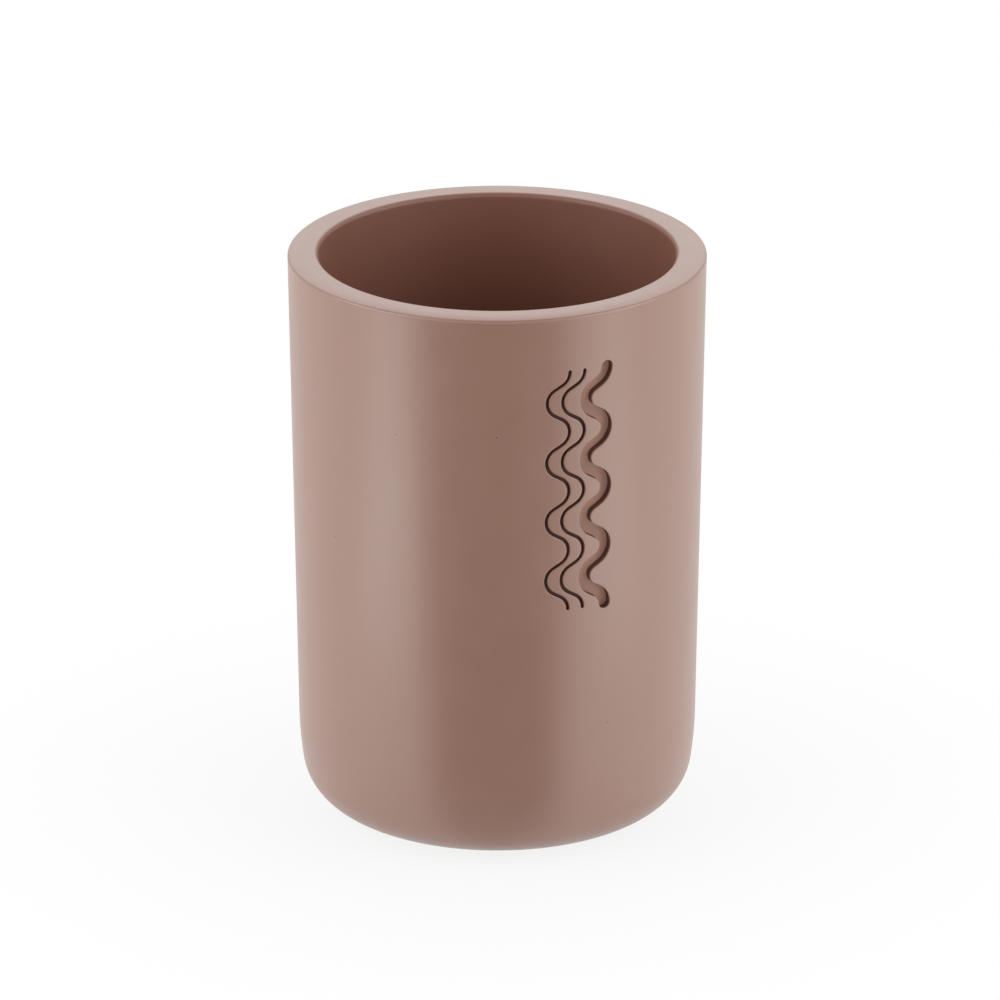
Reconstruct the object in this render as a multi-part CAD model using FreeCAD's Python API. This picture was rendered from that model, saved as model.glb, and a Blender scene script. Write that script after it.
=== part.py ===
import FreeCAD, Part
import math
import os

# Bathroom tumbler: a thick one-piece cast resin cup that stands on four small stick-on feet.
# Millimetres and degrees.  Z is up, the feet stand on z = 0, the cup's axis is the Z axis,
# and the decorated side of the wall faces -Y.

# Outside of the cup
RIM_DIAMETER = 75.0          # widest point, at the top of the wall
BODY_HEIGHT = 104.6          # underside of the base to the top of the rim
OUTER_DRAFT = 0.85           # lean of the straight wall, narrower downwards
LOWER_CURVE_RADIUS = 65.0    # slow inward curve below the straight wall
LOWER_CURVE_ANGLE = 8.5      # lean of the wall where the slow curve meets the heel
HEEL_RADIUS = 9.0            # round corner between the wall and the flat base
RIM_CROWN_WIDTH = 2.8        # outer part of the rim's top, which curves down slowly towards its edge
RIM_CROWN_LEAN = 11.0        # slope of the top where the slow curve meets the round edge
RIM_OUTER_ROUND = 0.5

# Inside of the cup
WALL_AT_RIM = 5.5
RIM_INNER_ROUND = 0.85
INNER_DRAFT = 1.0            # lean of the inner wall, so that the mould's core pulls out upwards
FLOOR_THICKNESS = 6.5
FLOOR_CORNER_RADIUS = 8.0

# Stick-on feet, each set in a shallow round pocket under the base
FOOT_NAMES = ["front_right", "back_right", "back_left", "front_left"]
FIRST_FOOT_ANGLE = -45       # the front right foot; the others follow evenly, anticlockwise from above
FOOT_DIAMETER = 9.0
FOOT_THICKNESS = 1.7
FOOT_EDGE_ROUND = 0.6
TAPE_INSET = 0.2             # the adhesive disc stops this far inside the foot's edge
TAPE_THICKNESS = 0.2
POCKET_DEPTH = 1.0
POCKET_CLEARANCE = 0.3       # air all round the foot
POCKET_TO_HEEL = 1.8         # flat base left between a pocket and the heel

# Sunk ripples that run down the wall: a bold one on the right and fine ones beside it
RIPPLE_TOP_BELOW_RIM = 9.4
RIPPLE_WAVES = 4
RIPPLE_BEND_RADIUS = 2.8     # of the centre line, at every crest
RIPPLE_FLANK_ANGLE = 60.0    # lean of the straight flanks between the bends
RIPPLE_FLANK_LENGTH = 1.5
RIPPLE_LAND = 0.8            # wall left between the flanks of two ripples
BOLD_WIDTH = 2.2
BOLD_DEPTH = 1.6
FINE_COUNT = 2
FINE_WIDTH = 0.6
FINE_DEPTH = 1.0

# Levels, radii and widths that follow from the sizes above
BASE_Z = TAPE_THICKNESS + FOOT_THICKNESS - POCKET_DEPTH
RIM_Z = BASE_Z + BODY_HEIGHT
FLOOR_Z = BASE_Z + FLOOR_THICKNESS
RIM_RADIUS = RIM_DIAMETER / 2
FOOT_RADIUS = FOOT_DIAMETER / 2
TAPE_RADIUS = FOOT_RADIUS - TAPE_INSET
POCKET_RADIUS = FOOT_RADIUS + POCKET_CLEARANCE


def on_circle(centre, radius, angle):
    """Point of a circle in the XZ plane, at an angle in degrees from +X towards +Z."""
    turn = math.radians(angle)
    return centre[0] + radius * math.cos(turn), centre[1] + radius * math.sin(turn)


def section(point):
    """An (x, z) pair as a point of the XZ plane."""
    return FreeCAD.Vector(point[0], 0, point[1])


def line(start, end):
    return Part.makeLine(section(start), section(end))


def arc(centre, radius, first, last):
    middle = (first + last) / 2
    points = [section(on_circle(centre, radius, angle)) for angle in (first, middle, last)]
    return Part.Arc(*points).toShape()


def slow_curve(start, corner, end):
    """Curve that leaves its start and reaches its end along the lines to a corner point."""
    curve = Part.BezierCurve()
    curve.setPoles([section(start), section(corner), section(end)])
    return curve.toShape()


def turned(edges):
    """Solid of revolution about the Z axis of a closed outline in the XZ plane."""
    face = Part.Face(Part.Wire(edges))
    return face.revolve(FreeCAD.Vector(0, 0, 0), FreeCAD.Vector(0, 0, 1), 360)


# Outer wall, as (x, z) points.  Each stretch runs smoothly into the next one.
crown_start = (RIM_RADIUS - RIM_CROWN_WIDTH, RIM_Z)
crown_end_x = RIM_RADIUS - RIM_OUTER_ROUND * (1 - math.sin(math.radians(RIM_CROWN_LEAN)))
crown_corner = ((crown_start[0] + crown_end_x) / 2, RIM_Z)
crown_drop = (crown_end_x - crown_corner[0]) * math.tan(math.radians(RIM_CROWN_LEAN))
crown_end = (crown_end_x, RIM_Z - crown_drop)
rim_centre = on_circle(crown_end, -RIM_OUTER_ROUND, 90 - RIM_CROWN_LEAN)
wall_top = on_circle(rim_centre, RIM_OUTER_ROUND, -OUTER_DRAFT)
heel_top_drop = (LOWER_CURVE_RADIUS - HEEL_RADIUS) * math.sin(math.radians(LOWER_CURVE_ANGLE))
wall_foot_drop = LOWER_CURVE_RADIUS * math.sin(math.radians(OUTER_DRAFT))
wall_foot_z = BASE_Z + HEEL_RADIUS + heel_top_drop - wall_foot_drop


def wall_radius(z):
    """Radius of the straight outer wall, or of its continuation, at a height."""
    return wall_top[0] - (wall_top[1] - z) * math.tan(math.radians(OUTER_DRAFT))


wall_foot = (wall_radius(wall_foot_z), wall_foot_z)
curve_centre = on_circle(wall_foot, -LOWER_CURVE_RADIUS, -OUTER_DRAFT)
heel_centre = on_circle(curve_centre, LOWER_CURVE_RADIUS - HEEL_RADIUS, -LOWER_CURVE_ANGLE)
base_edge = (heel_centre[0], BASE_Z)

# Inner wall, as (x, z) points
lip_centre = (RIM_RADIUS - WALL_AT_RIM + RIM_INNER_ROUND, RIM_Z - RIM_INNER_ROUND)
bore_top = on_circle(lip_centre, -RIM_INNER_ROUND, -INNER_DRAFT)
bore_foot_z = FLOOR_Z + FLOOR_CORNER_RADIUS * (1 - math.sin(math.radians(INNER_DRAFT)))
bore_foot_x = bore_top[0] - (bore_top[1] - bore_foot_z) * math.tan(math.radians(INNER_DRAFT))
bore_foot = (bore_foot_x, bore_foot_z)
corner_centre = on_circle(bore_foot, -FLOOR_CORNER_RADIUS, -INNER_DRAFT)
floor_edge = (corner_centre[0], FLOOR_Z)


def make_cup_blank():
    """The plain cup, before its pockets and ripples are cut."""
    return turned([
        line((0, BASE_Z), base_edge),
        arc(heel_centre, HEEL_RADIUS, -90, -LOWER_CURVE_ANGLE),
        arc(curve_centre, LOWER_CURVE_RADIUS, -LOWER_CURVE_ANGLE, -OUTER_DRAFT),
        line(wall_foot, wall_top),
        arc(rim_centre, RIM_OUTER_ROUND, -OUTER_DRAFT, 90 - RIM_CROWN_LEAN),
        slow_curve(crown_end, crown_corner, crown_start),
        line(crown_start, (lip_centre[0], RIM_Z)),
        arc(lip_centre, RIM_INNER_ROUND, 90, 180 - INNER_DRAFT),
        line(bore_top, bore_foot),
        arc(corner_centre, FLOOR_CORNER_RADIUS, -INNER_DRAFT, -90),
        line(floor_edge, (0, FLOOR_Z)),
        line((0, FLOOR_Z), (0, BASE_Z)),
    ])


def foot_centre(number):
    circle_radius = base_edge[0] - POCKET_TO_HEEL - POCKET_RADIUS
    turn = math.radians(FIRST_FOOT_ANGLE + 360 * number / len(FOOT_NAMES))
    return FreeCAD.Vector(circle_radius * math.cos(turn), circle_radius * math.sin(turn), 0)


def make_foot(centre):
    """A foot that is flat underneath, with a rounded lower edge."""
    flat_radius = FOOT_RADIUS - FOOT_EDGE_ROUND
    foot = turned([
        line((0, 0), (flat_radius, 0)),
        arc((flat_radius, FOOT_EDGE_ROUND), FOOT_EDGE_ROUND, -90, 0),
        line((FOOT_RADIUS, FOOT_EDGE_ROUND), (FOOT_RADIUS, FOOT_THICKNESS)),
        line((FOOT_RADIUS, FOOT_THICKNESS), (0, FOOT_THICKNESS)),
        line((0, FOOT_THICKNESS), (0, 0)),
    ])
    foot.translate(centre)
    return foot


def make_tape(centre):
    """The adhesive disc between a foot and the ceiling of its pocket."""
    return Part.makeCylinder(TAPE_RADIUS, TAPE_THICKNESS, centre + FreeCAD.Vector(0, 0, FOOT_THICKNESS))


def make_pocket(centre):
    return Part.makeCylinder(POCKET_RADIUS, BASE_Z + POCKET_DEPTH, centre)


# Centre line of a ripple: every quarter wave is a bend at the crest, then half a straight flank
flank_lean = math.radians(RIPPLE_FLANK_ANGLE)
half_flank = RIPPLE_FLANK_LENGTH / 2
swing = RIPPLE_BEND_RADIUS * (1 - math.cos(flank_lean)) + half_flank * math.sin(flank_lean)
half_wave = 2 * (RIPPLE_BEND_RADIUS * math.sin(flank_lean) + half_flank * math.cos(flank_lean))
ripple_top_z = RIM_Z - RIPPLE_TOP_BELOW_RIM - BOLD_WIDTH / 2

# Sideways places of the ripples, with the whole block centred on the front of the cup
bold_to_fine = (RIPPLE_LAND + (BOLD_WIDTH + FINE_WIDTH) / 2) / math.cos(flank_lean)
fine_to_fine = (RIPPLE_LAND + FINE_WIDTH) / math.cos(flank_lean)
first_to_last = bold_to_fine + (FINE_COUNT - 1) * fine_to_fine
bold_x = first_to_last / 2 - (BOLD_WIDTH - FINE_WIDTH) / 4


def ripple_side(centre_x, shift):
    """One long side of a ripple from its top to its bottom, `shift` to the right of its centre line."""
    edges = []
    bend_count = 2 * RIPPLE_WAVES + 1
    last_end = None
    for number in range(bend_count):
        right = number % 2 == 0
        first = 0 if number == 0 else RIPPLE_FLANK_ANGLE
        last = 0 if number == bend_count - 1 else -RIPPLE_FLANK_ANGLE
        bend_z = ripple_top_z - number * half_wave
        if right:
            centre = (centre_x + swing - RIPPLE_BEND_RADIUS, bend_z)
            radius = RIPPLE_BEND_RADIUS + shift
        else:
            centre = (centre_x - swing + RIPPLE_BEND_RADIUS, bend_z)
            radius = RIPPLE_BEND_RADIUS - shift
            first = 180 - first
            last = 180 - last
        if last_end:
            edges.append(line(last_end, on_circle(centre, radius, first)))
        edges.append(arc(centre, radius, first, last))
        last_end = on_circle(centre, radius, last)
    return edges


def make_ripple(centre_x, width, depth):
    """Cutter for one ripple with round ends and an even depth below the front of the wall."""
    end_x = centre_x + swing
    bottom_z = ripple_top_z - 2 * RIPPLE_WAVES * half_wave
    outline = ripple_side(centre_x, width / 2)
    outline.append(arc((end_x, bottom_z), width / 2, 0, -180))
    outline.extend(reversed(ripple_side(centre_x, -width / 2)))
    outline.append(arc((end_x, ripple_top_z), width / 2, 180, 0))
    face = Part.Face(Part.Wire(outline))
    core = Part.makeCone(wall_radius(0) - depth, wall_radius(RIM_Z) - depth, RIM_Z)
    return face.extrude(FreeCAD.Vector(0, -RIM_DIAMETER, 0)).cut(core)


def make_cup():
    cup = make_cup_blank()
    for number in range(len(FOOT_NAMES)):
        cup = cup.cut(make_pocket(foot_centre(number)))
    cup = cup.cut(make_ripple(bold_x, BOLD_WIDTH, BOLD_DEPTH))
    for number in range(FINE_COUNT):
        fine_x = bold_x - bold_to_fine - number * fine_to_fine
        cup = cup.cut(make_ripple(fine_x, FINE_WIDTH, FINE_DEPTH))
    return cup


os.makedirs("parts", exist_ok=True)
make_cup().exportStep("parts/cup_body.step")
for number, name in enumerate(FOOT_NAMES):
    centre = foot_centre(number)
    make_foot(centre).exportStep("parts/foot_" + name + ".step")
    make_tape(centre).exportStep("parts/foot_tape_" + name + ".step")
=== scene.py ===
import math
import bmesh
import bpy
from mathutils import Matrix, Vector, kdtree
from mathutils.geometry import delaunay_2d_cdt


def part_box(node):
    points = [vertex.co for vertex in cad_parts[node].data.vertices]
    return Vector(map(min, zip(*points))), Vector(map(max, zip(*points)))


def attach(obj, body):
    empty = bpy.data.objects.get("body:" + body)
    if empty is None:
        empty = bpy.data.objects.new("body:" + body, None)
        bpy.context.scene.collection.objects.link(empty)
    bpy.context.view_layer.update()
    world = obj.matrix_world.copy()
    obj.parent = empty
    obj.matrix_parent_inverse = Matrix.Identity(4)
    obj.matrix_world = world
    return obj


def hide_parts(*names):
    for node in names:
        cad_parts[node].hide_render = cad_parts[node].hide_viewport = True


# Bathroom tumbler: a thick cast resin cup with sunk ripples, on four stick-on feet.
# Metres.  The cup's axis is the Z axis, and the rippled side of the wall faces -Y.

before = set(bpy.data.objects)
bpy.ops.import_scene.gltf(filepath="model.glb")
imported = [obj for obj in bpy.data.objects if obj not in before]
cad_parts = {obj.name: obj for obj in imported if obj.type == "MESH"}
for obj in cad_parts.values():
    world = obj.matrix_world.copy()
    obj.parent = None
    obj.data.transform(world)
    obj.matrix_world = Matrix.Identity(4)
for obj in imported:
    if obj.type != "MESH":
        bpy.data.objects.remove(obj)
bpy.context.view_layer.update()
cup_low, cup_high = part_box("cup_body")
foot_low, foot_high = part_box("foot_front_right")

MM = 0.001

# Cup: levels and rim from the frame, the rest as the part is made
RIM_RADIUS = cup_high.x
RIM_Z = cup_high.z
BASE_Z = cup_low.z
OUTER_DRAFT = 0.85
LOWER_CURVE_RADIUS = 65.0 * MM
LOWER_CURVE_ANGLE = 8.5
HEEL_RADIUS = 9.0 * MM
RIM_CROWN_WIDTH = 2.8 * MM           # outer part of the rim's top, which curves down towards its edge
RIM_CROWN_LEAN = 11.0
RIM_OUTER_ROUND = 0.5 * MM
WALL_AT_RIM = 5.5 * MM
RIM_INNER_ROUND = 0.85 * MM
INNER_DRAFT = 1.0
FLOOR_THICKNESS = 6.5 * MM
FLOOR_Z = BASE_Z + FLOOR_THICKNESS
FLOOR_CORNER_RADIUS = 8.0 * MM

# Foot pockets under the base
FOOT_CENTRE = (foot_low + foot_high) / 2
POCKET_CLEARANCE = 0.3 * MM
POCKET_RADIUS = (foot_high.x - foot_low.x) / 2 + POCKET_CLEARANCE
POCKET_DEPTH = 1.0 * MM
POCKET_ANGLES = (0, 90, 180, 270)    # turns from the front right pocket

# Ripples sunk into the front of the wall
RIPPLE_TOP_BELOW_RIM = 9.4 * MM
RIPPLE_WAVES = 4
RIPPLE_BEND_RADIUS = 2.8 * MM
RIPPLE_FLANK_ANGLE = 60.0
RIPPLE_FLANK_LENGTH = 1.5 * MM
RIPPLE_LAND = 0.8 * MM
BOLD_WIDTH = 2.2 * MM
BOLD_DEPTH = 1.6 * MM
FINE_WIDTH = 0.6 * MM
FINE_DEPTH = 1.0 * MM
FINE_COUNT = 2

# Soft edges of everything that is sunk into the casting
SUNK_EDGE_ROUND = 0.12 * MM
SUNK_CORNER_ROUND = 0.2 * MM
SUNK_CORNER_SHARE = 0.6              # most of its half width that a narrow ripple's corner takes
LAND_LOOP = 0.2 * MM                 # keeps the smooth shading of a flat next to a round edge

# Fineness of the meshes
SEGMENTS = 240
PANEL_HALF_SEGMENTS = 10             # the rippled panel of the wall, each side of the front
PANEL_MARGIN = 3.0 * MM              # plain wall in the panel above and below the ripples
PANEL_ROW = 2.0 * MM
SHEET_STEP = 1.1 * MM
BASE_STEP = 3.5 * MM
SHEET_CLEAR = 0.6                    # of a step, kept free of points beside a sheet's loops
SHEET_WELD = 1e-9
BEND_STEP = 10.0
FLANK_STEPS = 3
CAP_STEPS = 12
POCKET_STEPS = 48
SUNK_ROUND_STEPS = 4
SUNK_SIDE_STEPS = 3
HEEL_STEPS = 16
LOWER_CURVE_STEPS = 6
LOWER_WALL_STEPS = 8                 # plain wall below the rippled panel
UPPER_WALL_STEPS = 3                 # plain wall above it
RIM_ROUND_STEPS = 8
RIM_CROWN_STEPS = 6
BORE_STEPS = 12
FLOOR_CORNER_STEPS = 14

# Camera, from the photograph's outline
IMAGE_SIZE = 1000
LENS = 268.0
SENSOR = 36.0
CAMERA_AZIMUTH = -23.0
CAMERA_ELEVATION = 21.05
CAMERA_DISTANCE = 1.35
CAMERA_REACH = 10.0
BODY_CENTRE_PIXEL = (497.2, 523.1)

# Colours, linear
RESIN_COLOUR = (0.285, 0.1425, 0.0995, 1.0)
# painted shade of the cup's inside: a darker, deeper brown than the resin
INSIDE_SHADE_COLOUR = (0.198, 0.060, 0.027, 1.0)
# painted shade on the ripples' walls
RIPPLE_SHADE_COLOUR = (0.075, 0.013, 0.005, 1.0)
# painted light on the bold ripple's floor, paler than the resin
BOLD_FLOOR_LIGHT_COLOUR = (0.410, 0.205, 0.146, 1.0)
SPECK_COLOUR = (0.090, 0.050, 0.036, 1.0)
URETHANE_COLOUR = (0.62, 0.62, 0.60, 1.0)
ADHESIVE_COLOUR = (0.75, 0.74, 0.70, 1.0)
FLOOR_COLOUR = (0.88, 0.88, 0.88, 1.0)
CARD_COLOUR = (0.01, 0.01, 0.01, 1.0)

# Finishes
TONE_RANGE = (0.2, 0.8)              # of the slow mottle, over which roughness goes from low to high
SATIN_ROUGHNESS = (0.32, 0.38)
INSIDE_START = 0.25 * RIM_INNER_ROUND  # past the crest of the lip, where the satin finish starts to turn rougher and the inside's painted shade starts
INSIDE_FULL = 0.65 * RIM_INNER_ROUND
BARE_ROUGHER = 0.25
INSIDE_SHADE_RISE = 50.0 * MM                # the inside's painted shade fades from this height down to its floor
INSIDE_SHADE_FLOOR_SHARE = 0.5                     # of the inside's painted shade left on the floor
RIPPLE_MASK_START = 0.1 * MM               # depth in a ripple at which its walls start to darken with painted shade
RIPPLE_MASK_FULL = 0.5 * MM
RIPPLE_SHADE_SHARE = 0.95
BOLD_FLOOR_LIGHT_START = 0.15 * MM         # height above the bold ripple's floor at which its painted light starts
BOLD_FLOOR_LIGHT_FULL = 0.04 * MM
RIPPLE_ROUGHER = 0.4
RUBBED_ROUGHER = 0.25                # flat base
RUBBED_START = 0.3 * MM              # height above the base at which it starts to look rubbed
RUBBED_FULL = 0.05 * MM
SPECK_CELLS = 480.0                  # per metre
SPECK_CHANCE = 0.035
SPECK_EDGE = 0.09                    # of a cell
SPECK_CORE = 0.05
SPECK_PIT = 4.0                      # depth beside the grain's
URETHANE_ROUGHNESS = (0.38, 0.52)
ADHESIVE_ROUGHNESS = (0.55, 0.70)

# Studio
FLOOR_HALF = 3.0
SHADOW_SHARE = 0.15                  # of the shadow that shows on the white beside the cup
SHADOW_FULL = 0.045                  # the shadow fades out between these distances from the axis
SHADOW_GONE = 0.11
SKY_LEVEL = 0.92
DIM_ELEVATION = 65.0
DIM_START = 0.3                      # cosine at which the dimmer patch of sky begins
DIM_SHARE = 0.3
CARD_START = 0.028
CARD_END = 1.2
CARD_START_HALF = 0.003
CARD_LEFT_ANGLE = 43.0
CARD_RIGHT_ANGLE = 39.5
CARD_EDGE = 0.008                    # half the width of its soft long edges
CARD_CLEAR = 0.91                    # how far the card clears beside the cup
CARD_LIFT = 0.2 * MM
PANEL_LIFT = 0.4 * MM
STRIP_LIFT = 0.8 * MM
STRIP_TINT = (0.75, 1.0, 0.97)


def on_circle(centre, radius, angle):
    turn = math.radians(angle)
    return centre[0] + radius * math.cos(turn), centre[1] + radius * math.sin(turn)


def arc(centre, radius, first, last, steps):
    """Points of an arc from angle `first` to angle `last`, both ends included."""
    return [on_circle(centre, radius, first + (last - first) * n / steps) for n in range(steps + 1)]


def between(start, end, steps):
    """Points between two ends, neither included."""
    points = []
    for n in range(1, steps):
        share = n / steps
        points.append((start[0] + (end[0] - start[0]) * share, start[1] + (end[1] - start[1]) * share))
    return points


def slow_curve(start, corner, end, steps):
    """Points between two ends, neither included, that leave and arrive along the lines to a corner."""
    firsts = between(start, corner, steps)
    seconds = between(corner, end, steps)
    return [between(firsts[n - 1], seconds[n - 1], steps)[n - 1] for n in range(1, steps)]


def add_object(name, data):
    """A new object in the scene."""
    made = bpy.data.objects.new(name, data)
    bpy.context.scene.collection.objects.link(made)
    return made


# Outer wall as (radius, height)
crown_start = (RIM_RADIUS - RIM_CROWN_WIDTH, RIM_Z)
crown_end_radius = RIM_RADIUS - RIM_OUTER_ROUND * (1 - math.sin(math.radians(RIM_CROWN_LEAN)))
crown_corner = ((crown_start[0] + crown_end_radius) / 2, RIM_Z)
crown_drop = (crown_end_radius - crown_corner[0]) * math.tan(math.radians(RIM_CROWN_LEAN))
crown_end = (crown_end_radius, RIM_Z - crown_drop)
rim_centre = on_circle(crown_end, -RIM_OUTER_ROUND, 90 - RIM_CROWN_LEAN)
wall_top = on_circle(rim_centre, RIM_OUTER_ROUND, -OUTER_DRAFT)
heel_rise = (LOWER_CURVE_RADIUS - HEEL_RADIUS) * math.sin(math.radians(LOWER_CURVE_ANGLE))
curve_drop = LOWER_CURVE_RADIUS * math.sin(math.radians(OUTER_DRAFT))
wall_foot_z = BASE_Z + HEEL_RADIUS + heel_rise - curve_drop


def wall_radius(z):
    return wall_top[0] - (wall_top[1] - z) * math.tan(math.radians(OUTER_DRAFT))


wall_foot = (wall_radius(wall_foot_z), wall_foot_z)
curve_centre = on_circle(wall_foot, -LOWER_CURVE_RADIUS, -OUTER_DRAFT)
heel_centre = on_circle(curve_centre, LOWER_CURVE_RADIUS - HEEL_RADIUS, -LOWER_CURVE_ANGLE)

# Inner wall as (radius, height)
lip_centre = (RIM_RADIUS - WALL_AT_RIM + RIM_INNER_ROUND, RIM_Z - RIM_INNER_ROUND)
bore_top = on_circle(lip_centre, -RIM_INNER_ROUND, -INNER_DRAFT)
bore_foot_z = FLOOR_Z + FLOOR_CORNER_RADIUS * (1 - math.sin(math.radians(INNER_DRAFT)))
bore_foot_radius = bore_top[0] - (bore_top[1] - bore_foot_z) * math.tan(math.radians(INNER_DRAFT))
bore_foot = (bore_foot_radius, bore_foot_z)
corner_centre = on_circle(bore_foot, -FLOOR_CORNER_RADIUS, -INNER_DRAFT)

# Ripple layout, centred on the front
flank_lean = math.radians(RIPPLE_FLANK_ANGLE)
half_flank = RIPPLE_FLANK_LENGTH / 2
swing = RIPPLE_BEND_RADIUS * (1 - math.cos(flank_lean)) + half_flank * math.sin(flank_lean)
half_wave = 2 * (RIPPLE_BEND_RADIUS * math.sin(flank_lean) + half_flank * math.cos(flank_lean))
ripple_top_z = RIM_Z - RIPPLE_TOP_BELOW_RIM - BOLD_WIDTH / 2
ripple_bottom_z = ripple_top_z - 2 * RIPPLE_WAVES * half_wave
bold_to_fine = (RIPPLE_LAND + (BOLD_WIDTH + FINE_WIDTH) / 2) / math.cos(flank_lean)
fine_to_fine = (RIPPLE_LAND + FINE_WIDTH) / math.cos(flank_lean)
first_to_last = bold_to_fine + (FINE_COUNT - 1) * fine_to_fine
bold_x = first_to_last / 2 - (BOLD_WIDTH - FINE_WIDTH) / 4
panel_top = ripple_top_z + BOLD_WIDTH / 2 + PANEL_MARGIN
panel_bottom = ripple_bottom_z - BOLD_WIDTH / 2 - PANEL_MARGIN


def cup_profile():
    """(radius, height) from the base round the outside, over the rim and down to the inner floor."""
    wall_lift = (wall_top[0] - wall_foot[0]) / (wall_top[1] - wall_foot[1])
    support = (wall_top[0] - LAND_LOOP * wall_lift, wall_top[1] - LAND_LOOP)
    bore_lean = math.tan(math.radians(INNER_DRAFT))
    bore_support = (bore_top[0] - LAND_LOOP * bore_lean, bore_top[1] - LAND_LOOP)
    low = (wall_radius(panel_bottom), panel_bottom)
    high = (wall_radius(panel_top), panel_top)
    panel_rows = round((panel_top - panel_bottom) / PANEL_ROW)
    profile = [(heel_centre[0] - LAND_LOOP, BASE_Z)]
    profile += arc(heel_centre, HEEL_RADIUS, -90, -LOWER_CURVE_ANGLE, HEEL_STEPS)
    curve = arc(curve_centre, LOWER_CURVE_RADIUS, -LOWER_CURVE_ANGLE, -OUTER_DRAFT, LOWER_CURVE_STEPS)
    profile += curve[1:]
    profile += between(wall_foot, low, LOWER_WALL_STEPS)
    first_row = len(profile)
    profile += [low] + between(low, high, panel_rows) + [high]
    last_row = len(profile) - 1
    profile += between(high, support, UPPER_WALL_STEPS) + [support]
    profile += arc(rim_centre, RIM_OUTER_ROUND, -OUTER_DRAFT, 90 - RIM_CROWN_LEAN, RIM_ROUND_STEPS)
    profile += slow_curve(crown_end, crown_corner, crown_start, RIM_CROWN_STEPS)
    profile += [crown_start, (lip_centre[0] + LAND_LOOP, RIM_Z)]
    profile += arc(lip_centre, RIM_INNER_ROUND, 90, 180 - INNER_DRAFT, RIM_ROUND_STEPS)
    profile += [bore_support] + between(bore_support, bore_foot, BORE_STEPS)
    profile += arc(corner_centre, FLOOR_CORNER_RADIUS, -INNER_DRAFT, -90, FLOOR_CORNER_STEPS)
    profile += [(corner_centre[0] - LAND_LOOP, FLOOR_Z)]
    return profile, first_row, last_row


def sunk_profile(half_width, depth):
    """(distance from the middle, depth) across one side of a sunk shape, from the land to its floor."""
    top = (half_width + SUNK_EDGE_ROUND, SUNK_EDGE_ROUND)
    corner_round = min(SUNK_CORNER_ROUND, half_width * SUNK_CORNER_SHARE)
    corner = (half_width - corner_round, depth - corner_round)
    across = [(half_width + SUNK_EDGE_ROUND + LAND_LOOP, 0.0)]
    across += arc(top, SUNK_EDGE_ROUND, 270, 180, SUNK_ROUND_STEPS)
    across += between(across[-1], (half_width, corner[1]), SUNK_SIDE_STEPS)
    across += arc(corner, corner_round, 0, 90, SUNK_ROUND_STEPS)
    return across


def inside_loop(point, loop):
    """Even-odd test of a plan point against a closed loop of plan points."""
    inside = False
    before = loop[-1]
    for after in loop:
        if (before.y > point.y) != (after.y > point.y):
            crossing = before.x + (point.y - before.y) / (after.y - before.y) * (after.x - before.x)
            if point.x < crossing:
                inside = not inside
        before = after
    return inside


def fill_sheet(bm, outer, holes, plan, lift, step):
    """Triangles between an outer loop of vertices and its holes.

    `plan` gives a vertex's flat place, and `lift` puts a flat place back on the surface."""
    verts = []
    edges = []
    loops = []
    for loop in [outer] + holes:
        first = len(verts)
        verts += loop
        loops.append([plan(v.co) for v in loop])
        edges += [(first + n, first + (n + 1) % len(loop)) for n in range(len(loop))]
    flat = [point for loop in loops for point in loop]
    tree = kdtree.KDTree(len(flat))
    for number, point in enumerate(flat):
        tree.insert(point.to_3d(), number)
    tree.balance()
    low_x, high_x = min(p.x for p in loops[0]), max(p.x for p in loops[0])
    low_y, high_y = min(p.y for p in loops[0]), max(p.y for p in loops[0])
    columns = math.ceil((high_x - low_x) / step)
    rows = math.ceil((high_y - low_y) / step)
    for row in range(rows + 1):
        for column in range(columns + 1):
            stagger = 0.5 * (row % 2)
            point = Vector((low_x + (column + stagger) * step, low_y + row * step))
            nearest = tree.find(point.to_3d())[2]
            if nearest < SHEET_CLEAR * step or not inside_loop(point, loops[0]):
                continue
            if any(inside_loop(point, loop) for loop in loops[1:]):
                continue
            flat.append(point)
            verts.append(bm.verts.new(lift(point)))
    places, _, faces, origins, _, _ = delaunay_2d_cdt(flat, edges, [], 1, SHEET_WELD)
    for face in faces:
        middle = sum((places[n] for n in face), Vector((0, 0))) / len(face)
        if any(inside_loop(middle, loop) for loop in loops[1:]):
            continue
        bm.faces.new([verts[origins[n][0]] for n in face])


def bridge(bm, first, second):
    """Quads between two closed loops with as many vertices."""
    for n in range(len(first)):
        after = (n + 1) % len(first)
        bm.faces.new((first[n], first[after], second[after], second[n]))


def sink_loops(bm, loops):
    """Walls down through loops of places; returns the vertices of the first loop and of the last one."""
    rings = [[bm.verts.new(place) for place in loop] for loop in loops]
    for outer, inner in zip(rings, rings[1:]):
        bridge(bm, outer, inner)
    return rings[0], rings[-1]


def ripple_path(centre_x):
    """(point, sideways direction to the right) along a ripple's middle, from its top to its bottom."""
    path = []
    bends = 2 * RIPPLE_WAVES + 1
    for number in range(bends):
        side = 1 if number % 2 == 0 else -1
        first = 0 if number == 0 else RIPPLE_FLANK_ANGLE
        last = 0 if number == bends - 1 else -RIPPLE_FLANK_ANGLE
        steps = round((first - last) / BEND_STEP)
        centre = Vector((centre_x + side * (swing - RIPPLE_BEND_RADIUS), ripple_top_z - number * half_wave))
        bend = []
        for n in range(steps + 1):
            turn = math.radians(first + (last - first) * n / steps)
            away = Vector((math.cos(turn), side * math.sin(turn)))
            bend.append((centre + side * RIPPLE_BEND_RADIUS * away, away))
        if path:
            start, sideways = path[-1]
            for n in range(1, FLANK_STEPS):
                path.append((start.lerp(bend[0][0], n / FLANK_STEPS), sideways))
        path += bend
    return path


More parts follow.
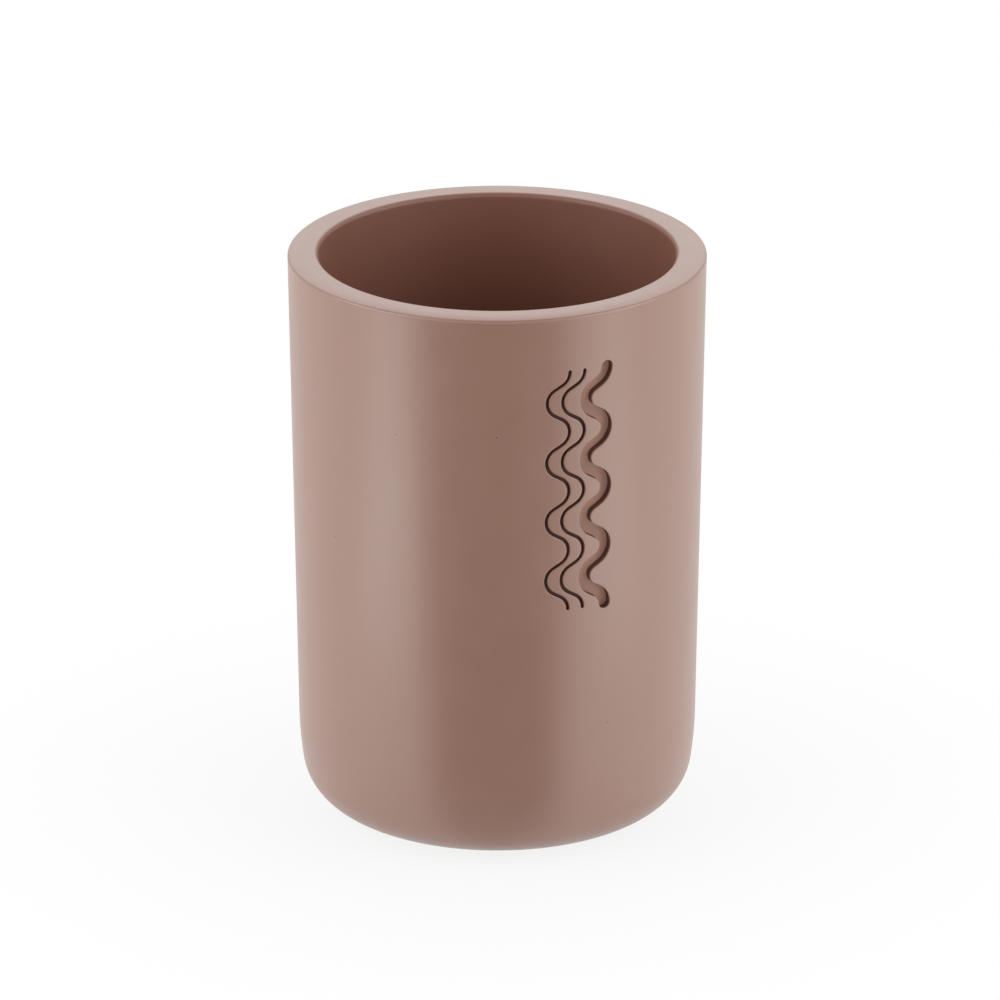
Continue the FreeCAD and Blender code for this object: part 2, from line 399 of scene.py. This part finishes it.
def ripple_loop(path, distance):
    """Plan points all round a ripple at a distance from its middle."""
    loop = [point + sideways * distance for point, sideways in path]
    loop += [Vector(p) for p in arc(path[-1][0], distance, 0, -180, CAP_STEPS)[1:-1]]
    loop += [point - sideways * distance for point, sideways in reversed(path)]
    loop += [Vector(p) for p in arc(path[0][0], distance, 180, 0, CAP_STEPS)[1:-1]]
    return loop


def on_wall(point, depth=0.0):
    """A plan point (x, z) of the front, on the outer wall or below it."""
    radius = wall_radius(point.y) - depth
    return Vector((point.x, -math.sqrt(radius ** 2 - point.x ** 2), point.y))


def sink_ripple(bm, centre_x, width, depth):
    """One ripple's channel; returns its outermost loop, which lies on the wall."""
    path = ripple_path(centre_x)
    loops = []
    for distance, level in sunk_profile(width / 2, depth):
        loops.append([on_wall(point, level) for point in ripple_loop(path, distance)])
    outermost, inner = sink_loops(bm, loops)
    middle = [bm.verts.new(on_wall(point, depth)) for point, _ in path]
    count = len(path)
    cap = CAP_STEPS - 1
    for n in range(count - 1):
        bm.faces.new((inner[n], inner[n + 1], middle[n + 1], middle[n]))
        left = 2 * count + cap - 1 - n
        bm.faces.new((inner[left], middle[n], middle[n + 1], inner[left - 1]))
    for n in range(count - 1, count + cap):
        bm.faces.new((inner[n], inner[n + 1], middle[-1]))
    for n in range(2 * count + cap - 1, len(inner)):
        bm.faces.new((inner[n], inner[(n + 1) % len(inner)], middle[0]))
    return outermost


def sink_pocket(bm, turn):
    """One foot pocket in the base; returns its outermost loop, which lies on the base."""
    angle = math.radians(turn) + math.atan2(FOOT_CENTRE.y, FOOT_CENTRE.x)
    reach = FOOT_CENTRE.xy.length
    centre = (reach * math.cos(angle), reach * math.sin(angle))
    loops = []
    for radius, level in sunk_profile(POCKET_RADIUS, POCKET_DEPTH):
        ring = arc(centre, radius, 0, 360, POCKET_STEPS)[:-1]
        loops.append([(x, y, BASE_Z + level) for x, y in ring])
    outermost, inner = sink_loops(bm, loops)
    lift = BASE_Z + POCKET_DEPTH
    fill_sheet(bm, inner, [], lambda co: co.xy, lambda point: (point.x, point.y, lift), SHEET_STEP)
    return outermost


def make_cast_cup():
    """The whole casting as one closed mesh: turned cup, rippled panel, pocketed base and inner floor."""
    bm = bmesh.new()
    profile, first_row, last_row = cup_profile()
    front = SEGMENTS // 2
    panel = range(front - PANEL_HALF_SEGMENTS, front + PANEL_HALF_SEGMENTS)
    rings = []
    for radius, z in profile:
        ring = []
        for n in range(SEGMENTS):
            turn = 2 * math.pi * (n - front) / SEGMENTS
            ring.append(bm.verts.new((radius * math.sin(turn), -radius * math.cos(turn), z)))
        rings.append(ring)
    for row in range(len(rings) - 1):
        low, high = rings[row], rings[row + 1]
        for n in range(SEGMENTS):
            if n in panel and first_row <= row < last_row:
                continue
            after = (n + 1) % SEGMENTS
            bm.faces.new((low[n], low[after], high[after], high[n]))

    left, right = panel.start, panel.stop
    edge = rings[first_row][left:right]
    edge += [rings[row][right] for row in range(first_row, last_row)]
    edge += rings[last_row][right:left:-1]
    edge += [rings[row][left] for row in range(last_row, first_row, -1)]
    ripples = [sink_ripple(bm, bold_x, BOLD_WIDTH, BOLD_DEPTH)]
    for number in range(FINE_COUNT):
        fine_x = bold_x - bold_to_fine - number * fine_to_fine
        ripples.append(sink_ripple(bm, fine_x, FINE_WIDTH, FINE_DEPTH))
    fill_sheet(bm, edge, ripples, lambda co: Vector((co.x, co.z)), on_wall, SHEET_STEP)

    pockets = [sink_pocket(bm, turn) for turn in POCKET_ANGLES]
    fill_sheet(bm, rings[0], pockets, lambda co: co.xy, lambda p: (p.x, p.y, BASE_Z), BASE_STEP)
    fill_sheet(bm, rings[-1], [], lambda co: co.xy, lambda p: (p.x, p.y, FLOOR_Z), BASE_STEP)

    bmesh.ops.recalc_face_normals(bm, faces=bm.faces)
    mesh = bpy.data.meshes.new("cast_cup")
    bm.to_mesh(mesh)
    bm.free()
    mesh.shade_smooth()
    return add_object("cast_cup", mesh)


def add_node(tree, kind, **values):
    """A shader node with its sockets or settings given by name; underscores stand for spaces."""
    node = tree.nodes.new(kind)
    for name, value in values.items():
        socket = name.replace("_", " ")
        if socket in node.inputs:
            node.inputs[socket].default_value = value
        else:
            setattr(node, name, value)
    return node


def new_material(name):
    material = bpy.data.materials.new(name)
    material.use_nodes = True
    tree = material.node_tree
    tree.nodes.clear()
    output = tree.nodes.new("ShaderNodeOutputMaterial")
    return material, tree, output


def map_range(tree, value, from_low, from_high, to_low, to_high):
    ranged = tree.nodes.new("ShaderNodeMapRange")
    ranged.inputs["From Min"].default_value = from_low
    ranged.inputs["From Max"].default_value = from_high
    ranged.inputs["To Min"].default_value = to_low
    ranged.inputs["To Max"].default_value = to_high
    tree.links.new(value, ranged.inputs["Value"])
    return ranged.outputs["Result"]


def math_node(tree, operation, *values):
    """Result of a Math node whose values are numbers or other nodes' outputs."""
    node = add_node(tree, "ShaderNodeMath", operation=operation)
    for socket, value in zip(node.inputs, values):
        if isinstance(value, (int, float)):
            socket.default_value = value
        else:
            tree.links.new(value, socket)
    return node.outputs[0]


def all_of(tree, *masks):
    """Product of several masks."""
    product = masks[0]
    for mask in masks[1:]:
        product = math_node(tree, "MULTIPLY", product, mask)
    return product


def mix_colour(tree, share, first, second):
    """The first colour, turning into the second as the share goes from 0 to 1."""
    mix = add_node(tree, "ShaderNodeMix", data_type="RGBA")
    tree.links.new(share, mix.inputs["Factor"])
    for name, colour in (("A", first), ("B", second)):
        if isinstance(colour, tuple):
            mix.inputs[name].default_value = colour
        else:
            tree.links.new(colour, mix.inputs[name])
    return mix.outputs["Result"]


def mix_shaders(tree, share, first, second):
    """The first shader, turning into the second as the share goes from 0 to 1."""
    mix = tree.nodes.new("ShaderNodeMixShader")
    tree.links.new(share, mix.inputs["Fac"])
    tree.links.new(first.outputs[0], mix.inputs[1])
    tree.links.new(second.outputs[0], mix.inputs[2])
    return mix.outputs["Shader"]


def object_axes(tree):
    """X, Y and Z of a point in its object's own frame."""
    place = tree.nodes.new("ShaderNodeTexCoord")
    axes = tree.nodes.new("ShaderNodeSeparateXYZ")
    tree.links.new(place.outputs["Object"], axes.inputs["Vector"])
    return [axes.outputs[name] for name in "XYZ"]


def from_axis(tree, x, y):
    """Distance of a point from the cup's axis."""
    squares = [math_node(tree, "MULTIPLY", value, value) for value in (x, y)]
    return math_node(tree, "SQRT", math_node(tree, "ADD", *squares))


def make_mottle_group():
    """Slow and fine variation of a moulded surface: a tinted colour, a tone and a grain height."""
    group = bpy.data.node_groups.new("moulded_mottle", "ShaderNodeTree")
    sockets = group.interface
    sockets.new_socket("Color", in_out="INPUT", socket_type="NodeSocketColor")
    for name in ("Mottle Scale", "Mottle Amount", "Grain Scale"):
        sockets.new_socket(name, in_out="INPUT", socket_type="NodeSocketFloat")
    sockets.new_socket("Color", in_out="OUTPUT", socket_type="NodeSocketColor")
    for name in ("Tone", "Grain"):
        sockets.new_socket(name, in_out="OUTPUT", socket_type="NodeSocketFloat")
    link = group.links.new
    given = group.nodes.new("NodeGroupInput")
    result = group.nodes.new("NodeGroupOutput")
    place = group.nodes.new("ShaderNodeTexCoord")
    slow = add_node(group, "ShaderNodeTexNoise", Detail=4.0, Roughness=0.55)
    fine = add_node(group, "ShaderNodeTexNoise", Detail=2.0, Roughness=0.5)
    for noise, scale in ((slow, "Mottle Scale"), (fine, "Grain Scale")):
        link(place.outputs["Object"], noise.inputs["Vector"])
        link(given.outputs[scale], noise.inputs["Scale"])
    spread = math_node(group, "SUBTRACT", slow.outputs["Fac"], 0.5)
    change = math_node(group, "MULTIPLY_ADD", spread, given.outputs["Mottle Amount"], 1.0)
    tint = group.nodes.new("ShaderNodeHueSaturation")
    link(change, tint.inputs["Value"])
    link(given.outputs["Color"], tint.inputs["Color"])
    link(tint.outputs["Color"], result.inputs["Color"])
    link(slow.outputs["Fac"], result.inputs["Tone"])
    link(fine.outputs["Fac"], result.inputs["Grain"])
    return group


mottle_group = make_mottle_group()


def add_mottle(tree, colour, scale, amount, grain):
    """The mottle group over a colour, which is a plain one or another node's output."""
    mottle = tree.nodes.new("ShaderNodeGroup")
    mottle.node_tree = mottle_group
    mottle.inputs["Mottle Scale"].default_value = scale
    mottle.inputs["Mottle Amount"].default_value = amount
    mottle.inputs["Grain Scale"].default_value = grain
    if isinstance(colour, tuple):
        mottle.inputs["Color"].default_value = colour
    else:
        tree.links.new(colour, mottle.inputs["Color"])
    return mottle


def add_grain(tree, surface, height, strength, distance):
    bump = add_node(tree, "ShaderNodeBump", Strength=strength, Distance=distance)
    tree.links.new(height, bump.inputs["Height"])
    tree.links.new(bump.outputs["Normal"], surface.inputs["Normal"])


def mask_inside(tree, radius, z):
    """The inside of the cup, from just past the crest of the lip."""
    past_crest = map_range(tree, radius, lip_centre[0] - INSIDE_START, lip_centre[0] - INSIDE_FULL, 0.0, 1.0)
    above_base = math_node(tree, "GREATER_THAN", z, (BASE_Z + FLOOR_Z) / 2)
    return all_of(tree, past_crest, above_base)


def depth_in_wall(tree, radius, z):
    """How far a point lies below the straight outer wall."""
    lean = math.tan(math.radians(OUTER_DRAFT))
    wall_here = math_node(tree, "MULTIPLY_ADD", z, lean, wall_radius(0.0))
    return math_node(tree, "SUBTRACT", wall_here, radius)


def mask_ripples(tree, depth, z):
    """Walls and floors of the sunk ripples."""
    below_edge = map_range(tree, depth, RIPPLE_MASK_START, RIPPLE_MASK_FULL, 0.0, 1.0)
    not_inside = math_node(tree, "LESS_THAN", depth, (BOLD_DEPTH + WALL_AT_RIM) / 2)
    over_bottom = math_node(tree, "GREATER_THAN", z, panel_bottom)
    under_top = math_node(tree, "LESS_THAN", z, panel_top)
    return all_of(tree, below_edge, not_inside, over_bottom, under_top)


def mask_specks(tree):
    """Rare pinhole specks, each in the middle of a cell."""
    place = tree.nodes.new("ShaderNodeTexCoord")
    cells = add_node(tree, "ShaderNodeTexVoronoi", Scale=SPECK_CELLS)
    chance = tree.nodes.new("ShaderNodeSeparateColor")
    tree.links.new(place.outputs["Object"], cells.inputs["Vector"])
    tree.links.new(cells.outputs["Color"], chance.inputs["Color"])
    kept = math_node(tree, "GREATER_THAN", chance.outputs["Red"], 1.0 - SPECK_CHANCE)
    spot = map_range(tree, cells.outputs["Distance"], SPECK_EDGE, SPECK_CORE, 0.0, 1.0)
    return all_of(tree, kept, spot)


def make_resin():
    """Satin cast resin with faint mottle, rare specks and fine grain.

    It is painted darker inside and on the ripples' walls as shade, painted paler on the bold ripple's floor
    as light, rougher inside and in the ripples, and rubbed on the base."""
    material, tree, output = new_material("cast_resin_satin")
    link = tree.links.new
    surface = add_node(tree, "ShaderNodeBsdfPrincipled", IOR=1.6)
    surface.inputs["Specular IOR Level"].default_value = 1.0
    x, y, z = object_axes(tree)
    radius = from_axis(tree, x, y)
    depth = depth_in_wall(tree, radius, z)
    inside = mask_inside(tree, radius, z)
    ripples = mask_ripples(tree, depth, z)
    specks = mask_specks(tree)

    # painted shade inside the cup, fading towards its floor
    inside_shade = all_of(tree, inside, map_range(tree, z, FLOOR_Z, FLOOR_Z + INSIDE_SHADE_RISE, INSIDE_SHADE_FLOOR_SHARE, 1.0))
    # painted light on the bold ripple's floor
    bold_floor_light = map_range(tree, depth, BOLD_DEPTH - BOLD_FLOOR_LIGHT_START, BOLD_DEPTH - BOLD_FLOOR_LIGHT_FULL, 0.0, 1.0)
    # painted shade on the ripples' walls, kept off the bold ripple's floor
    ripple_shade = all_of(tree, ripples, math_node(tree, "SUBTRACT", 1.0, bold_floor_light), RIPPLE_SHADE_SHARE)
    # mix in the inside's painted shade, the bold floor's painted light and the ripples' painted shade, in
    # turn
    colour = mix_colour(tree, inside_shade, RESIN_COLOUR, INSIDE_SHADE_COLOUR)
    colour = mix_colour(tree, all_of(tree, ripples, bold_floor_light), colour, BOLD_FLOOR_LIGHT_COLOUR)
    colour = mix_colour(tree, ripple_shade, colour, RIPPLE_SHADE_COLOUR)
    mottle = add_mottle(tree, colour, scale=160.0, amount=0.10, grain=2200.0)
    colour = mix_colour(tree, specks, mottle.outputs["Color"], SPECK_COLOUR)
    link(colour, surface.inputs["Base Color"])

    satin = map_range(tree, mottle.outputs["Tone"], *TONE_RANGE, *SATIN_ROUGHNESS)
    rubbed = map_range(tree, z, BASE_Z + RUBBED_START, BASE_Z + RUBBED_FULL, 0.0, RUBBED_ROUGHER)
    roughness = math_node(tree, "ADD", satin, rubbed)
    roughness = math_node(tree, "MULTIPLY_ADD", ripples, RIPPLE_ROUGHER, roughness)
    roughness = math_node(tree, "MULTIPLY_ADD", inside, BARE_ROUGHER, roughness)
    link(roughness, surface.inputs["Roughness"])
    height = math_node(tree, "MULTIPLY_ADD", specks, -SPECK_PIT, mottle.outputs["Grain"])
    add_grain(tree, surface, height, strength=0.35, distance=0.012 * MM)
    link(surface.outputs["BSDF"], output.inputs["Surface"])
    return material


def make_foot_finish(name, colour, ior, mottle_scale, mottle_amount, grain_scale, grain_strength,
                     roughness):
    """Plain mottled and grained finish of a small piece under the cup."""
    material, tree, output = new_material(name)
    link = tree.links.new
    surface = add_node(tree, "ShaderNodeBsdfPrincipled", IOR=ior)
    mottle = add_mottle(tree, colour, scale=mottle_scale, amount=mottle_amount, grain=grain_scale)
    link(mottle.outputs["Color"], surface.inputs["Base Color"])
    link(map_range(tree, mottle.outputs["Tone"], *TONE_RANGE, *roughness), surface.inputs["Roughness"])
    add_grain(tree, surface, mottle.outputs["Grain"], strength=grain_strength, distance=0.01 * MM)
    link(surface.outputs["BSDF"], output.inputs["Surface"])
    return material


# Cup
cast_cup = make_cast_cup()
cast_cup.data.materials.append(make_resin())
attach(cast_cup, "root")
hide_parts("cup_body")

# Feet and adhesive discs keep their solids and get their finish
urethane = make_foot_finish("foot_urethane_milky", URETHANE_COLOUR, ior=1.48, mottle_scale=500.0,
                            mottle_amount=0.12, grain_scale=5000.0, roughness=URETHANE_ROUGHNESS,
                            grain_strength=0.4)
adhesive = make_foot_finish("foot_adhesive_film", ADHESIVE_COLOUR, ior=1.47, mottle_scale=900.0,
                            mottle_amount=0.2, grain_scale=6000.0, roughness=ADHESIVE_ROUGHNESS,
                            grain_strength=0.3)
for name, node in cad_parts.items():
    if name.startswith("foot_tape_"):
        node.material_slots[0].material = adhesive
    elif name.startswith("foot_"):
        node.material_slots[0].material = urethane


def towards(azimuth, elevation):
    """Direction from the cup at an azimuth from the front, anticlockwise from above, and an elevation."""
    turn, rise = math.radians(azimuth), math.radians(elevation)
    return Vector((math.sin(turn) * math.cos(rise), -math.cos(turn) * math.cos(rise), math.sin(rise)))


def make_floor():
    """A pale sheet that shows white, and close to the cup keeps some of the cup's soft shadow."""
    material, tree, output = new_material("studio_floor")
    matt = add_node(tree, "ShaderNodeBsdfDiffuse", Color=FLOOR_COLOUR)
    white = add_node(tree, "ShaderNodeEmission", Strength=1.0)
    path = tree.nodes.new("ShaderNodeLightPath")
    x, y, _ = object_axes(tree)
    whiteness = map_range(tree, from_axis(tree, x, y), SHADOW_FULL, SHADOW_GONE, 1.0 - SHADOW_SHARE, 1.0)
    share = all_of(tree, path.outputs["Is Camera Ray"], whiteness)
    share = math_node(tree, "MAXIMUM", share, path.outputs["Is Glossy Ray"])
    share = math_node(tree, "MAXIMUM", share, path.outputs["Is Transmission Ray"])
    tree.links.new(mix_shaders(tree, share, matt, white), output.inputs["Surface"])
    mesh = bpy.data.meshes.new("floor")
    corners = [(-1, -1), (1, -1), (1, 1), (-1, 1)]
    mesh.from_pydata([(x * FLOOR_HALF, y * FLOOR_HALF, 0.0) for x, y in corners], [], [(0, 1, 2, 3)])
    mesh.materials.append(material)
    add_object("floor", mesh)


def make_card():
    """Black card on the floor before the camera, which the satin wall mirrors as a darker band.

    It is drawn with +Y away from the cup and +X to the camera's left, then turned to the camera."""
    material, tree, output = new_material("black_card")
    matt = add_node(tree, "ShaderNodeBsdfDiffuse", Color=CARD_COLOUR)
    clear = tree.nodes.new("ShaderNodeBsdfTransparent")
    x, y, _ = object_axes(tree)
    near_clear = math_node(tree, "POWER", math_node(tree, "DIVIDE", CARD_START, y), 2.0)
    solid = map_range(tree, near_clear, 0.0, CARD_CLEAR, 1.0, 0.0)
    corners = []
    for side, angle in ((1, CARD_LEFT_ANGLE), (-1, CARD_RIGHT_ANGLE)):
        spread = math.tan(math.radians(angle))
        half = math_node(tree, "MULTIPLY_ADD", y, spread, CARD_START_HALF - CARD_START * spread)
        from_edge = math_node(tree, "SUBTRACT", half, math_node(tree, "MULTIPLY", x, side))
        solid = all_of(tree, solid, map_range(tree, from_edge, -CARD_EDGE, CARD_EDGE, 0.0, 1.0))
        for distance in (CARD_START, CARD_END):
            half_width = CARD_START_HALF + CARD_EDGE + (distance - CARD_START) * spread
            corners.append((side * half_width, distance, CARD_LIFT))
    tree.links.new(mix_shaders(tree, solid, clear, matt), output.inputs["Surface"])
    mesh = bpy.data.meshes.new("front_card")
    mesh.from_pydata(corners, [], [(0, 1, 3, 2)])
    mesh.materials.append(material)
    card = add_object("front_card", mesh)
    front = towards(CAMERA_AZIMUTH, 0.0)
    card.rotation_euler = (0, 0, math.atan2(-front.x, front.y))
    card.visible_camera = False
    card.visible_diffuse = False
    card.visible_shadow = False
    card.visible_transmission = False


def make_world():
    """White studio, dimmer high up on the camera's side, and plain white where the camera sees it."""
    world = bpy.data.worlds.new("studio")
    bpy.context.scene.world = world
    world.use_nodes = True
    tree = world.node_tree
    tree.nodes.clear()
    sky = add_node(tree, "ShaderNodeBackground", Color=(1.0, 1.0, 1.0, 1.0))
    path = tree.nodes.new("ShaderNodeLightPath")
    place = tree.nodes.new("ShaderNodeTexCoord")
    facing = add_node(tree, "ShaderNodeVectorMath", operation="DOT_PRODUCT")
    tree.links.new(place.outputs["Generated"], facing.inputs[0])
    facing.inputs[1].default_value = towards(CAMERA_AZIMUTH, DIM_ELEVATION)
    dimmed = map_range(tree, facing.outputs["Value"], DIM_START, 1.0, 1.0, DIM_SHARE)
    glossy, through = path.outputs["Is Glossy Ray"], path.outputs["Is Transmission Ray"]
    mirrored = math_node(tree, "MAXIMUM", glossy, through)
    strength = all_of(tree, map_range(tree, mirrored, 0.0, 1.0, SKY_LEVEL, 1.0), dimmed)
    strength = math_node(tree, "MAXIMUM", strength, path.outputs["Is Camera Ray"])
    tree.links.new(strength, sky.inputs["Strength"])
    output = tree.nodes.new("ShaderNodeOutputWorld")
    tree.links.new(sky.outputs["Background"], output.inputs["Surface"])


def make_lamp(name, width, height, level):
    """A rectangular lamp that the camera doesn't see; `level` is its brightness beside a white of 1."""
    lamp = bpy.data.lights.new(name, "AREA")
    lamp.shape = "RECTANGLE"
    lamp.size = width
    lamp.size_y = height
    lamp.energy = level * math.pi * width * height
    holder = add_object(name, lamp)
    holder.visible_camera = False
    return holder


def make_softbox(name, azimuth, elevation, distance, width, height, level, mirrored=True):
    """A large soft lamp aimed at the cup, at an azimuth from the camera's.

    `mirrored` says whether glossy surfaces show it."""
    softbox = make_lamp(name, width, height, level)
    away = towards(CAMERA_AZIMUTH + azimuth, elevation)
    softbox.location = Vector((0, 0, RIM_Z / 2)) + away * distance
    softbox.rotation_mode = "QUATERNION"
    softbox.rotation_quaternion = (-away).to_track_quat("-Z", "Y")
    softbox.visible_glossy = mirrored


def make_panel(name, azimuth, near, length, width, lift, level, tint=(1.0, 1.0, 1.0)):
    """A light panel just above the floor, facing up, that runs straight away from the cup."""
    panel = make_lamp(name, length, width, level)
    panel.data.color = tint
    away = towards(CAMERA_AZIMUTH + azimuth, 0.0)
    panel.location = away * (near + length / 2) + Vector((0, 0, lift))
    panel.rotation_euler = (math.pi, 0, math.atan2(away.y, away.x))


def make_camera():
    lens = bpy.data.cameras.new("photo_camera")
    lens.lens = LENS
    lens.sensor_width = SENSOR
    lens.clip_end = CAMERA_REACH
    camera = add_object("photo_camera", lens)
    middle = Vector((0, 0, (BASE_Z + RIM_Z) / 2))
    back = towards(CAMERA_AZIMUTH, CAMERA_ELEVATION)
    camera.location = middle + back * CAMERA_DISTANCE
    right = Vector((0, 0, 1)).cross(back).normalized()
    up = back.cross(right)
    pixel = CAMERA_DISTANCE * SENSOR / LENS / IMAGE_SIZE
    aim = middle - right * (BODY_CENTRE_PIXEL[0] - IMAGE_SIZE / 2) * pixel
    aim += up * (BODY_CENTRE_PIXEL[1] - IMAGE_SIZE / 2) * pixel
    camera.rotation_mode = "QUATERNION"
    camera.rotation_quaternion = (aim - camera.location).to_track_quat("-Z", "Y")
    bpy.context.scene.camera = camera


make_floor()
make_card()
make_world()
for side, name in ((-1, "left"), (1, "right")):
    make_softbox(name + "_softbox", azimuth=side * 72.0, elevation=32.0, distance=0.9,
                 width=0.8, height=0.7, level=1.7)
    make_panel(name + "_panel", azimuth=side * 90.0, near=0.04, length=0.6, width=0.6,
               lift=PANEL_LIFT, level=0.10)
make_panel("left_strip", azimuth=-58.5, near=0.13, length=0.25, width=0.09,
           lift=STRIP_LIFT, level=1.0, tint=STRIP_TINT)
make_panel("right_strip", azimuth=62.5, near=0.13, length=0.25, width=0.09,
           lift=STRIP_LIFT, level=0.7, tint=STRIP_TINT)
make_softbox("back_softbox", azimuth=180.0, elevation=30.0, distance=1.0, width=1.0, height=0.6, level=0.7)
make_softbox("front_softbox", azimuth=0.0, elevation=12.0, distance=1.6,
             width=1.0, height=0.6, level=1.3, mirrored=False)
make_camera()
bpy.context.scene.view_settings.view_transform = "Standard"
